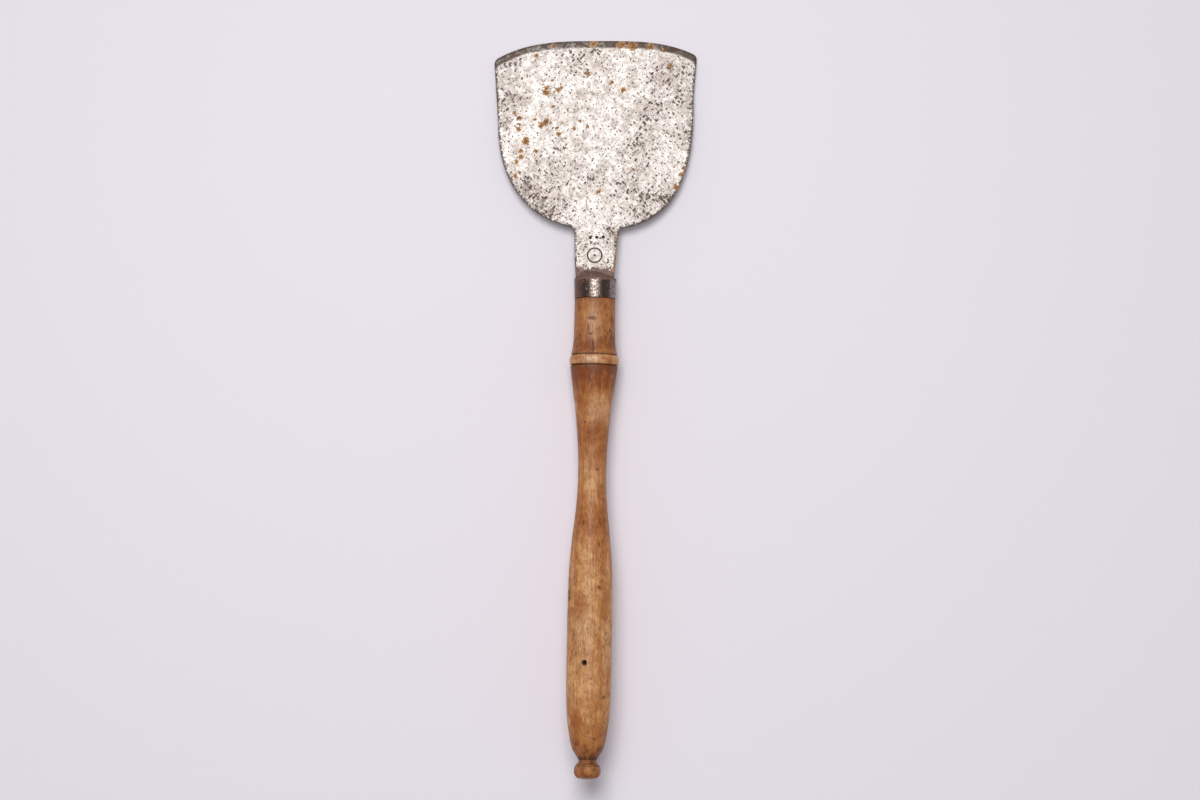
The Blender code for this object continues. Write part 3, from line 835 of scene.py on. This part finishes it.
def steel_material():
    """Bare worn steel: bright between dense dark pits, with rust spots, a duller bevel and painted shade
    along its rim.
    """
    make = Shader("worn_steel")
    place = make.place()
    rust_field, cloud_field, dark_field, stain_field = map(make.field, ("rust", "cloud", "dark", "stain"))
    bevel, mark, rim = map(make.field, ("bevel", "mark", "rim"))

    patch = make.noise(place, 0.16, 4, 0.62)
    soft = make.noise(place, 0.46, 5, 0.72)
    fine = make.noise(place, 1.3, 3, 0.6)
    ragged = make.noise(place, 0.75, 4, 0.65)

    # How thickly the pits stand: soft clouds, and the named dark spots
    dark_spot = make.ramp(make.plus(dark_field, make.sway(ragged, 0.6)), 0, 0.7)
    cloud = make.ramp(make.plus(cloud_field, make.sway(patch, 0.5)), -0.2, 0.9)
    crowd = make.plus(make.times(cloud, 0.55), make.times(dark_spot, 0.5))

    # Pits: ragged ones, and short strokes and flecks that lean either way
    pits = make.ramp(make.noise(place, 0.95, 3, 0.65), 0.60, 0.68, -0.5, 0.5, False)
    for lean in (-42, 38):
        along = make.place((1.5, 0.5, 1), math.radians(lean))
        strokes = make.ramp(make.noise(along, 0.8, 3, 0.65), 0.61, 0.69, -0.5, 0.5, False)
        pits = make.larger(pits, strokes)
    reach = make.ramp(crowd, 0, 1, 0.24, 0.42)
    for lean, scale in ((-42, 0.36), (38, 0.31)):
        far, own = make.cells(make.place((1.35, 0.7, 1), math.radians(lean)), scale)
        flecks = make.less(make.times(make.less(own, 0.2), reach), far)
        pits = make.larger(pits, make.times(flecks, 6))
    pits = make.ramp(make.plus(pits, make.times(crowd, 0.62)), 0, 0.5)
    pits = make.times(pits, make.ramp(make.field("quiet"), 0, 0.4, 1, 0.12))

    rust = make.ramp(make.plus(rust_field, make.sway(ragged, 0.5)), -0.02, 0.2)
    rust_core = make.ramp(make.plus(rust_field, make.sway(fine, 0.6)), 0.1, 0.75)

    shine = make.ramp(soft, 0.36, 0.62, 0, 0.65)
    shine = make.plus(shine, make.ramp(patch, 0.38, 0.58, 0, 0.45), True)
    bright = make.mix(shine, STEEL_GREY, STEEL_LIGHT)
    smudge = make.ramp(make.noise(place, 0.13, 6, 0.76, 0.5), 0.42, 0.66, 0, 0.8)
    bright = make.mix(smudge, bright, STEEL_SMUDGE)
    clouded = make.mix(crowd, bright, STEEL_CLOUD, 0.7)
    pale_bevel = make.mix(make.ramp(patch, 0.40, 0.54), STEEL_BEVEL, STEEL_GREY)
    bevelled = make.mix(bevel, clouded, pale_bevel)
    brown = make.ramp(make.noise(place, 0.11, 3, 0.6, 0.4), 0.40, 0.54)
    bevelled = make.mix(make.times(bevel, brown), bevelled, BROWN_STAIN, 0.8)
    pitted = make.mix(pits, bevelled, PIT_BROWN, 0.9)
    # Painted shade: a ragged dark brown band along the whole rim, standing for the shade on the blade's
    # edges
    edge = make.ramp(make.plus(rim, make.ramp(ragged, 0.3, 0.7, -0.35, 0.25)), 0.45, 0.85)
    edged = make.mix(edge, pitted, EDGE_SHADE_BROWN, 0.85)
    stain = make.ramp(make.plus(stain_field, make.sway(ragged, 0.4)), 0.3, 0.8)
    stained = make.mix(stain, edged, CEMENT_BROWN, 0.9)
    marked = make.mix(make.ramp(mark, 0.1, 0.4), stained, MARK_BLACK)
    colour = make.mix(rust, marked, make.mix(rust_core, RUST_OCHRE, RUST_BROWN))

    covered = make.larger(rust, make.times(pits, 0.8))
    for cover in (make.ramp(mark, 0.1, 0.5), make.times(edge, 0.6), stain):
        covered = make.larger(covered, cover)
    rough = make.ramp(soft, 0.36, 0.62, 0.58, 0.50)
    rough = make.plus(rough, make.times(covered, 0.25), True)
    height = make.plus(make.times(pits, -1), make.times(soft, 0.8))
    height = make.plus(height, make.times(rust, 0.35))
    make.set(
        Base_Color=colour,
        Metallic=make.blend_value(covered, 0.75, 0.1),
        Roughness=rough,
        Normal=make.bump(height, 0.00008, 0.8),
    )
    return make.material


def iron_material():
    """The ferrule: iron with a brown patina, rubbed bright where a hand has polished it, and laid brightest
    along its top and underside as a painted highlight.
    """
    make = Shader("ferrule_iron")
    place = make.place()
    blotch = make.noise(place, 0.22, 4, 0.6, 0.3)
    fine = make.noise(place, 1.1, 4, 0.65)
    scratches = make.noise(make.place((1, 0.3, 1), math.radians(24)), 2.2, 3, 0.7)
    flecks, own = make.cells(place, 0.8)
    pits = make.ramp(make.less(make.times(own, 0.42), flecks), -0.06, 0.08)
    side = make.field("side")
    uneven = make.sway(fine, 0.08)
    # Painted highlight: the bright rubbed colour is laid on most thickly where the ferrule faces straight
    # up or down, where the lamp's reflection lies
    middle = make.ramp(make.plus(make.math("ABSOLUTE", side), uneven), 0.34, 0.12)
    bare = make.ramp(make.plus(side, make.times(uneven, 0.3)), 0.66, 0.72)
    worn = make.times(make.ramp(scratches, 0.34, 0.6), make.ramp(middle, 0, 1, 0.2, 1))
    worn = make.larger(worn, make.times(bare, make.ramp(fine, 0.35, 0.6, 0.35, 0.8)))
    colour = make.mix(make.ramp(blotch, 0.36, 0.62), IRON_OLIVE, IRON_PURPLE)
    colour = make.mix(worn, colour, IRON_RUBBED_AND_HIGHLIGHT, 0.75)
    far_side = make.ramp(make.plus(side, make.times(uneven, 2)), -0.6, -0.8, 0, 0.14)
    rust = make.ramp(make.plus(make.noise(place, 0.30, 3, 0.6), far_side), 0.58, 0.68)
    colour = make.mix(rust, colour, IRON_RUST, 0.8)
    grime = make.ramp(make.field("grime"), 0.2, 0.8)
    colour = make.mix(grime, colour, CEMENT_BROWN, 0.9)
    colour = make.mix(pits, colour, PIT_BROWN, 0.7)
    covered = make.larger(make.times(rust, 0.7), grime)
    rough = make.plus(make.ramp(fine, 0.3, 0.7, 0.26, 0.44), make.times(covered, 0.35), True)
    height = make.less(make.times(scratches, 0.5), pits)
    make.set(
        Base_Color=colour,
        Metallic=make.blend_value(covered, 1, 0.2),
        Roughness=rough,
        Normal=make.bump(height, 0.00006, 0.8),
    )
    return make.material


def wood_material():
    """Turned beech, handled for years: streaked along the grain, with short dark flecks and grime, and with
    painted shading: a painted highlight on the bead, and painted shade in darker rows and in the recesses.
    """
    make = Shader("turned_wood")
    place = make.place()
    tone_and_shading, red, grime_and_shade = map(make.field, ("tone_and_shading", "red", "grime_and_shade"))
    streaks = make.noise(make.place((1, 0.045, 1)), 0.55, 5, 0.6, 0.35)
    fibres = make.noise(make.place((1, 0.05, 1)), 1.6, 4, 0.75)
    waves = make.noise(make.place((0.6, 0.10, 0.6)), 0.32, 3, 0.5, 1.2)
    curl = make.noise(make.place((1, 0.55, 1)), 0.8, 4, 0.7, 0.6)
    mottle = make.noise(place, 0.16, 4, 0.6)
    fleck_far, fleck_own = make.cells(make.place((1, 0.22, 1)), 1.05)
    flecks = make.ramp(make.less(make.times(fleck_own, 0.24), fleck_far), -0.05, 0.05)

    # The tone it starts from carries painted shading as well as the wood's own darkness
    shade = tone_and_shading
    for pattern, reach in ((streaks, 0.11), (waves, 0.10), (curl, 0.10)):
        shade = make.plus(shade, make.sway(pattern, reach))
    shade = make.plus(shade, make.sway(mottle, 0.13), True)
    colour = make.mix(make.ramp(shade, 0, 0.5), WOOD_PALE, WOOD_MIDDLE)
    colour = make.mix(make.ramp(shade, 0.45, 1), colour, WOOD_DARK)
    # Paler rubbed wood, and on the bead a painted highlight
    colour = make.mix(make.times(make.field("wear_and_highlight"), make.ramp(streaks, 0.36, 0.6)), colour, WOOD_WORN_AND_HIGHLIGHT)
    reddish = make.times(red, make.ramp(mottle, 0.35, 0.6), True)
    colour = make.mix(reddish, colour, WOOD_RED, 0.8)
    colour = make.mix(make.ramp(fibres, 0.46, 0.70, 0, 0.48), colour, WOOD_DARK)
    colour = make.mix(flecks, colour, WOOD_FLECK, 0.6)
    # Near-black in the recesses: grime, with painted shade
    colour = make.mix(grime_and_shade, colour, WOOD_GRIME_AND_SHADE, 0.9)
    rough = make.ramp(fibres, 0.3, 0.7, 0.40, 0.54)
    rough = make.plus(rough, make.times(grime_and_shade, 0.25), True)
    height = make.plus(make.times(fibres, 0.6), make.times(flecks, -0.5))
    make.set(Specular_IOR_Level=0.25)
    make.set(Base_Color=colour, Roughness=rough, Normal=make.bump(height, 0.00006, 0.7))
    return make.material


def cement_material():
    """Cutler's cement: matt, brown and crumbly."""
    make = Shader("cutlers_cement")
    place = make.place()
    lumps = make.noise(place, 0.7, 5, 0.65)
    patches = make.noise(place, 0.25, 3, 0.5)
    colour = make.mix(make.ramp(lumps, 0.35, 0.68), CEMENT_DARK, CEMENT_BROWN)
    colour = make.mix(make.ramp(patches, 0.52, 0.7, 0, 0.7), colour, CEMENT_RED)
    make.set(
        Base_Color=colour,
        Roughness=make.ramp(lumps, 0.3, 0.7, 0.72, 0.9),
        Normal=make.bump(lumps, 0.0003, 0.8),
    )
    return make.material


# Handle


def groove_rows(distance, radius):
    """A small turned groove, 0.3 mm deep."""
    shape = ((-0.30, 0.0), (-0.14, 0.2), (0.0, 0.3), (0.14, 0.2), (0.30, 0.0))
    return [(distance + along * MM, radius - deep * MM) for along, deep in shape]


def handle_rows():
    """(y, radius) rows in metres, from the bore's end out of the mouth and back to the knob.

    The second value says how many of them are inside the bore or under the ferrule.
    """
    outside = list(even_points(smooth_row(COLLAR_STATIONS, 30), HANDLE_ROW_MM * MM))
    outside += groove_rows(COLLAR_STATIONS[-1][0] + GROOVE_HALF_WIDTH, BEAD_FOOT_RADIUS)[1:]
    for k in range(1, BEAD_STEPS):
        angle = math.pi * k / BEAD_STEPS
        along = BEAD_CENTRE - BEAD_HALF_LENGTH * math.cos(angle)
        outside.append((along, BEAD_FOOT_RADIUS + (BEAD_RADIUS - BEAD_FOOT_RADIUS) * math.sin(angle)))
    outside += groove_rows(BEAD_CENTRE + BEAD_HALF_LENGTH + GROOVE_HALF_WIDTH, BEAD_FOOT_RADIUS)[:4]
    grip = even_points(smooth_row(GRIP_STATIONS, 30), HANDLE_ROW_MM * MM)
    outside += list(grip[grip[:, 0] < STEM_START])
    stem = np.arange(STEM_START, GRIP_STATIONS[-1][0], STEM_ROW_MM * MM)
    outside += list(zip(stem, np.interp(stem, grip[:, 0], grip[:, 1])))
    outside.append(GRIP_STATIONS[-1])
    for sine, cosine in quarter(KNOB_STEPS, 1):
        radius = KNOB_STEM_RADIUS + (KNOB_RADIUS - KNOB_STEM_RADIUS) * sine
        outside.append((KNOB_CENTRE - KNOB_FRONT_LENGTH * cosine, radius))
    for sine, cosine in quarter(KNOB_STEPS, 1):
        radius = KNOB_END_RADIUS + (KNOB_RADIUS - KNOB_END_RADIUS) * cosine
        outside.append((KNOB_CENTRE + 0.9 * KNOB_BACK_LENGTH * sine, radius))
    for share in (0.75, 0.5, 0.25, 0.06):
        dome = 0.9 + 0.1 * (1 - share**2)
        outside.append((KNOB_CENTRE + dome * KNOB_BACK_LENGTH, KNOB_END_RADIUS * share))
    inside = [
        (BORE_END_Y, BORE_END_RADIUS),
        (COUNTERBORE_Y, BORE_MOUTH_RADIUS),
        (COUNTERBORE_Y, COUNTERBORE_RADIUS),
        (TENON_END_Y, COUNTERBORE_RADIUS),
        (TENON_END_Y, TENON_RADIUS),
        (-FERRULE_LENGTH - FIT_GAP, TENON_RADIUS),
    ]
    return np.array([*inside, *((-FERRULE_LENGTH - d, radius) for d, radius in outside)]), len(inside)


def handle_mesh():
    rows, inner_rows = handle_rows()
    y, radius, angle, rounds = spin_points(rows / MM, HANDLE_SEGMENTS)
    distance = -y - FERRULE_LENGTH / MM
    outer = np.arange(len(y)) >= inner_rows * HANDLE_SEGMENTS
    x, up = radius * np.sin(angle), np.cos(angle)
    above = up > 0

    # Darkening in the dents, the crack, the cut lines, the grooves, the joint with the ferrule and the nail
    # hole: grime, with painted shade in these recesses
    grime_and_shade = np.zeros(len(y))
    sink = 0.05 + 0.05 * smooth_noise(rounds, 30.0, 31) + 0.02 * smooth_noise(rounds, 6.0, 32)
    ring_noise = smooth_noise(rows[:, :1] / MM * (1, 0, 0), 0.9, 33)
    sink += 0.014 * np.repeat(ring_noise, HANDLE_SEGMENTS)
    for *place, depth in DENTS_MM:
        bowl = np.clip(1 - nearness(distance, x, place), 0, 1) * above
        sink += depth * bowl**0.8
        grime_and_shade = np.maximum(grime_and_shade, 0.75 * bowl**0.5)
    start, end, side = CRACK_MM
    waver = side + 0.3 * np.sin(distance * 0.9)
    crack = np.clip(1 - np.abs(x - waver) / CRACK_HALF_WIDTH_MM, 0, 1) * above
    crack *= np.clip((distance - start) / 2, 0, 1) * np.clip((end - distance) / 1, 0, 1)
    sink += CRACK_DEPTH_MM * crack
    grime_and_shade = np.maximum(grime_and_shade, crack)
    for line in CUT_LINES_MM:
        cut = np.exp(-(((distance - line) / CUT_WIDTH_MM) ** 2))
        sink += CUT_DEPTH_MM * cut
        grime_and_shade = np.maximum(grime_and_shade, 0.95 * cut)
    for line in GROOVE_LINES_MM:
        grime_and_shade = np.maximum(grime_and_shade, 0.85 * np.exp(-(((distance - line) / GROOVE_WIDTH_MM) ** 2)))
    # Painted shade with grime in the joint with the ferrule
    grime_and_shade = np.maximum(grime_and_shade, 0.8 * np.exp(-distance / 0.5))
    sink = np.where(outer & (radius > 1), sink, 0)

    # The nail hole: its rim's points are drawn onto a circle and those inside it pushed down.
    along, across = distance - NAIL_HOLE_DISTANCE / MM, x - NAIL_HOLE_X / MM
    out = np.hypot(along, across) / (NAIL_HOLE_RADIUS / MM)
    near = outer & above & (out < 1.6)
    target = np.where(out < 0.86, out * 0.5, np.where(out < 1.2, 1.0, 1.0 + (out - 1.2) * 1.5))
    pull = np.where(near, target / np.maximum(out, 1e-6), 1.0)
    distance = np.where(near, distance + along * (pull - 1), distance)
    angle = angle + np.where(near, across * (pull - 1) / np.maximum(radius * up, 1), 0)
    in_hole = near & (out < 0.86)
    sink = np.where(in_hole, NAIL_HOLE_DEPTH / MM * 0.8, sink)
    # Painted shade with grime in and round the nail hole
    grime_and_shade = np.where(near, np.maximum(grime_and_shade, np.clip(1.25 - 0.35 * out**4, 0, 1)), grime_and_shade)

    y = -distance - FERRULE_LENGTH / MM
    points = placed(y, radius - sink, angle)
    # Darkness along the handle: the wood's own tone, with painted highlight and shade in it
    tone_and_shading = np.interp(distance, *np.array(TONE_AND_SHADING_STATIONS).T)
    # The pale places are rubbed wear and, on the bead, a painted highlight
    red, wear_and_highlight = np.zeros(len(y)), np.zeros(len(y))
    for field, places in ((red, STAINS_MM), (wear_and_highlight, WORN_AND_HIGHLIGHT_MM)):
        for *place, strength in places:
            reached = strength * np.exp(-nearness(distance, x, place)) * np.clip(up + 0.6, 0, 1)
            field[:] = np.maximum(field, reached)
    red = np.maximum(red, 0.5 * np.clip(smooth_noise(rounds, 22.0, 35), 0, 1) * (up < 0))
    tone_and_shading += 0.28 * red + 0.10 * smooth_noise(rounds, 14.0, 36)
    fields = {"tone_and_shading": tone_and_shading, "red": red, "wear_and_highlight": wear_and_highlight, "grime_and_shade": grime_and_shade, "tool_mm": rounds}
    return points, lathe(len(rows), HANDLE_SEGMENTS, False), fields


# Ferrule and cement


def ferrule_mesh():
    mouth, base, bore = FERRULE_MOUTH_RADIUS / MM, FERRULE_BASE_RADIUS / MM, FERRULE_BORE_RADIUS / MM
    length, rolled, eased = FERRULE_LENGTH / MM, 0.55, 0.25
    rows = [(-length, radius) for radius in (bore, bore + 0.4, base - 0.15)]
    for y in np.linspace(-length + 0.12, -rolled, 26):
        rows.append((y, base + (mouth - base) * (y + length) / length))
    rows += [(-rolled + rolled * sine, mouth - rolled * (1 - cosine)) for sine, cosine in quarter(6, 1)]
    rows += [(-eased * (1 - cosine), bore + eased * (1 - sine)) for sine, cosine in quarter(3)]
    rows += [(y, bore) for y in np.linspace(-1.0, -length + 0.6, 8)]
    rows = np.array(rows)
    y, radius, angle, rounds = spin_points(rows, FERRULE_SEGMENTS)
    outer = radius > bore + 0.3
    dents = 0.03 + 0.03 * smooth_noise(rounds, 9.0, 41) + 0.016 * smooth_noise(rounds, 1.8, 42)
    points = placed(y, radius - dents * outer, angle)
    ragged = 0.8 * smooth_noise(rounds, 2.6, 43)
    grime = np.clip((y + 1.7 + ragged) / 0.9, 0, 1) * (np.cos(angle) > -0.5)
    fields = {"grime": grime, "side": np.sin(angle), "tool_mm": rounds}
    return points, lathe(len(rows), FERRULE_SEGMENTS, True), fields


def bar_object(name, ends):
    """A helper bar along y between two ends, each given as (y, half-width, half-height), in millimetres."""
    points = []
    for y, across, up in ends:
        points += [(-across, y, -up), (across, y, -up), (across, y, up), (-across, y, up)]
    faces = [(0, 1, 2, 3), (7, 6, 5, 4)] + [(k, k + 4, (k + 1) % 4 + 4, (k + 1) % 4) for k in range(4)]
    mesh = bpy.data.meshes.new(name)
    mesh.from_pydata(points, [], faces)
    return add_to_scene(name, mesh)


def bedding_mesh():
    """The cement: a plug, and a lumpy dome parted into two by the neck."""
    plug = (FERRULE_BORE_RADIUS - FIT_GAP) / MM
    back, shelf = (COUNTERBORE_Y + FIT_GAP) / MM, (TENON_END_Y + FIT_GAP) / MM
    waist = (COUNTERBORE_RADIUS - FIT_GAP) / MM
    rows = [(back, 0.4), (back, waist), (shelf, waist), (shelf, plug), (-0.5, plug), (-0.2, plug - 0.4)]
    for sine, cosine in quarter(DOME_STEPS)[:-1]:
        rows.append(((DOME_Y + DOME_LENGTH * sine) / MM, DOME_RADIUS / MM * cosine))
    rows = np.array([*rows, ((DOME_Y + DOME_LENGTH) / MM, 0.3)])
    y, radius, angle, rounds = spin_points(rows, BEDDING_SEGMENTS)
    lumps = 0.10 * smooth_noise(rounds, 2.2, 51) + 0.35 * smooth_noise(rounds, 5.0, 52)
    lean = 1 - 0.035 * rounds[:, 0]
    bulge = np.clip(y, 0, None)
    points = placed(y + bulge * (lean - 1) + bulge / 4.5 * lumps - 0.3 * (y > 1), radius, angle)
    mesh = bpy.data.meshes.new("bedding_blank")
    mesh.from_pydata(points, [], lathe(len(rows), BEDDING_SEGMENTS, False))
    blank = add_to_scene("bedding_blank", mesh)
    gap, far = FIT_GAP / MM, NECK_ROWS[1][0] / MM
    half_root, half_thick = TANG_ROOT_WIDTH / 2 / MM, NECK_ROOT_THICKNESS / 2 / MM
    tang_ends = ((back - 2, half_root + gap, half_thick + gap), (far, half_root, half_thick))
    neck_ends = [(y, 12, half_thick + gap / 2) for y in (DOME_Y / MM, far)]
    cutters = (bar_object("tang_bar", tang_ends), bar_object("neck_bar", neck_ends))
    for cutter in cutters:
        boolean = blank.modifiers.new(cutter.name, "BOOLEAN")
        boolean.operation, boolean.object = "DIFFERENCE", cutter
    bpy.context.view_layer.update()
    shaped = blank.evaluated_get(bpy.context.evaluated_depsgraph_get()).to_mesh()
    points = np.array([tuple(vert.co) for vert in shaped.vertices])
    faces = [tuple(face.vertices) for face in shaped.polygons]
    for made in (blank, *cutters):
        bpy.data.objects.remove(made, do_unlink=True)
    return points, faces, {}


# Stage


def add_floor():
    bpy.ops.mesh.primitive_circle_add(vertices=128, radius=FLOOR_RADIUS, fill_type="NGON")
    floor = bpy.context.object
    floor.name = "floor"
    make = Shader("pale_floor")
    make.set(Base_Color=FLOOR_COLOUR, Roughness=0.9, Specular_IOR_Level=0.2)
    floor.data.materials.append(make.material)


def add_light(name, kind, spot, **settings):
    """A light at a spot, turned to the origin."""
    light = bpy.data.lights.new(name, kind)
    for key, value in settings.items():
        setattr(light, key, value)
    made = add_to_scene(name, light)
    made.location = spot
    made.rotation_euler = Vector(spot).to_track_quat("Z", "Y").to_euler()
    made.visible_camera = False


def add_world():
    """A dim studio: pale low down, where the floor ends, and darker above."""
    world = bpy.data.worlds.new("studio")
    world.use_nodes = True
    nodes, links = world.node_tree.nodes, world.node_tree.links
    way = nodes.new("ShaderNodeTexCoord").outputs["Generated"]
    split = nodes.new("ShaderNodeSeparateXYZ")
    links.new(way, split.inputs[0])
    ramp = nodes.new("ShaderNodeValToRGB")
    for stop, (height, colour) in zip(ramp.color_ramp.elements, (WORLD_LOW, WORLD_HIGH)):
        stop.position, stop.color = height, colour
    links.new(split.outputs["Z"], ramp.inputs["Fac"])
    links.new(ramp.outputs["Color"], nodes["Background"].inputs["Color"])
    bpy.context.scene.world = world


def add_camera():
    data = bpy.data.cameras.new("camera")
    data.lens = CAMERA_LENS
    camera = add_to_scene("camera", data)
    camera.location = (*CAMERA_SPOT, CAMERA_HEIGHT)
    camera.rotation_euler = (0, 0, CAMERA_ROLL)
    bpy.context.scene.camera = camera


def outward(points, faces):
    """The same faces, turned so that they all point out of the closed body."""
    corners = [(face[0], face[k], face[k + 1]) for face in faces for k in range(1, len(face) - 1)]
    a, b, c = np.asarray(points)[np.array(corners)].transpose(1, 0, 2)
    inside_out = np.einsum("ij,ij->i", a, np.cross(b, c)).sum() < 0
    return [tuple(face)[::-1] for face in faces] if inside_out else faces


def main():
    add_camera()
    add_floor()
    add_world()
    add_light("key", "AREA", KEY_FROM, shape="SQUARE", size=KEY_SIZE, energy=KEY_POWER, color=KEY_COLOUR)
    add_light("overhead", "SUN", SUN_FROM, energy=SUN_STRENGTH, angle=SUN_SPREAD)
    bpy.context.scene.view_settings.view_transform = "Standard"
    for name, made, slot, material, sharp in (
        ("blade", blade_mesh(), "worn_steel", steel_material(), 50),
        ("ferrule", ferrule_mesh(), "ferrule_iron", iron_material(), 40),
        ("handle", handle_mesh(), "turned_wood", wood_material(), 50),
        ("tang_bedding", bedding_mesh(), "cutlers_cement", cement_material(), 40),
    ):
        points, faces, fields = made
        make_piece("worn_" + name, points, outward(points, faces), name, material, fields, sharp)


main()
